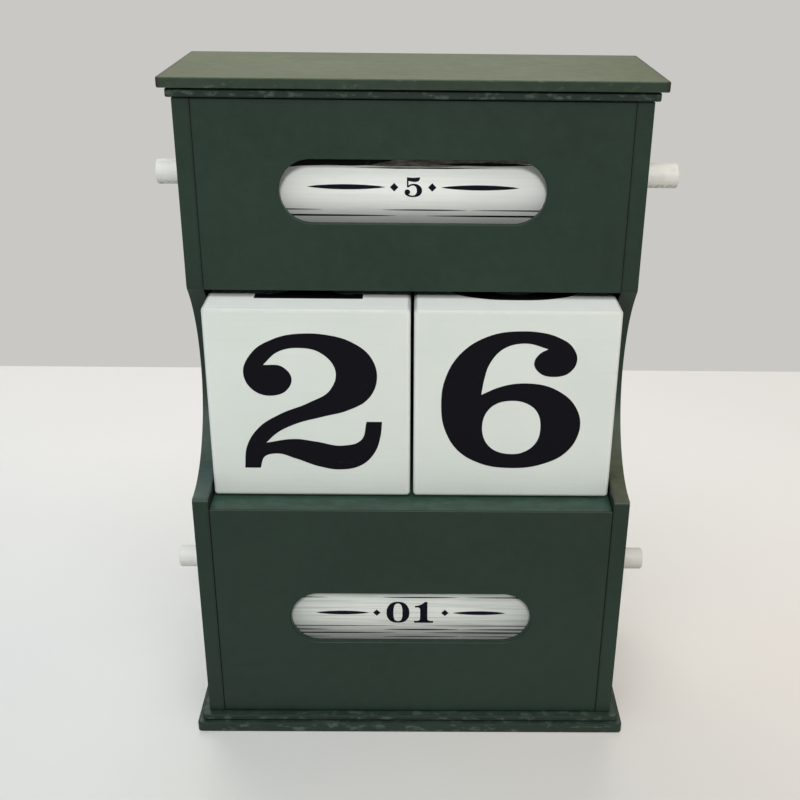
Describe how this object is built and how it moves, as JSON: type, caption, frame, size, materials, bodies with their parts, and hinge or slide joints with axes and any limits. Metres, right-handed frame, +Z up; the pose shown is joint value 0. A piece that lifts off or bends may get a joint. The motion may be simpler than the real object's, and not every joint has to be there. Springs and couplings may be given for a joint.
{
  "type": "desk calendar",
  "caption": "Perpetual desk calendar: a painted board case with number cubes on an open shelf and turning drums behind windows with round ends.",
  "frame": {"origin": "on the table, at the middle of the model's width and depth", "axes": "+Z up, the windows and cubes face -Y, +X to the viewer's right when looking at the front"},
  "size_m": [0.1314, 0.0632, 0.1687],
  "materials": {
    "green_paint": "satin dark green paint on thin board",
    "white_paint": "satin white paint on solid wood",
    "label_strip": "matt white paper strip on a cardboard tube",
    "dowel_paint": "matt off-white paint on a wooden dowel",
    "bare_board": "bare fibre board"
  },
  "bodies": {
    "case": {"left_side_panel": "green_paint", "right_side_panel": "green_paint", "upper_front_panel": "green_paint", "lower_front_panel": "green_paint", "cube_shelf": "green_paint", "upper_box_floor": "green_paint", "back_panel": "green_paint", "base_plate": "green_paint", "base_step": "green_paint", "top_moulding": "green_paint", "top_cap": "green_paint"},
    "weekday_roller": {"weekday_drum": "label_strip", "weekday_left_disc": "bare_board", "weekday_right_disc": "bare_board", "weekday_dowel": "dowel_paint"},
    "month_roller": {"month_drum": "label_strip", "month_left_disc": "bare_board", "month_right_disc": "bare_board", "month_dowel": "dowel_paint"},
    "left_number_cube": {"tens_cube": "white_paint"},
    "right_number_cube": {"units_cube": "white_paint"}
  },
  "joints": [
    {"name": "weekday_turn", "type": "hinge", "parent": "case", "child": "weekday_roller", "pos_m": [0, 0.00655, 0.14328], "axis": [1, 0, 0], "continuous": true},
    {"name": "month_turn", "type": "hinge", "parent": "case", "child": "month_roller", "pos_m": [0, 0.00209, 0.03584], "axis": [1, 0, 0], "continuous": true},
    {"name": "tens_cube_pull", "type": "slide", "parent": "case", "child": "left_number_cube", "axis": [0, -1, 0], "range_m": [0, 0.058]},
    {"name": "units_cube_pull", "type": "slide", "parent": "case", "child": "right_number_cube", "axis": [0, -1, 0], "range_m": [0, 0.058]}
  ]
}
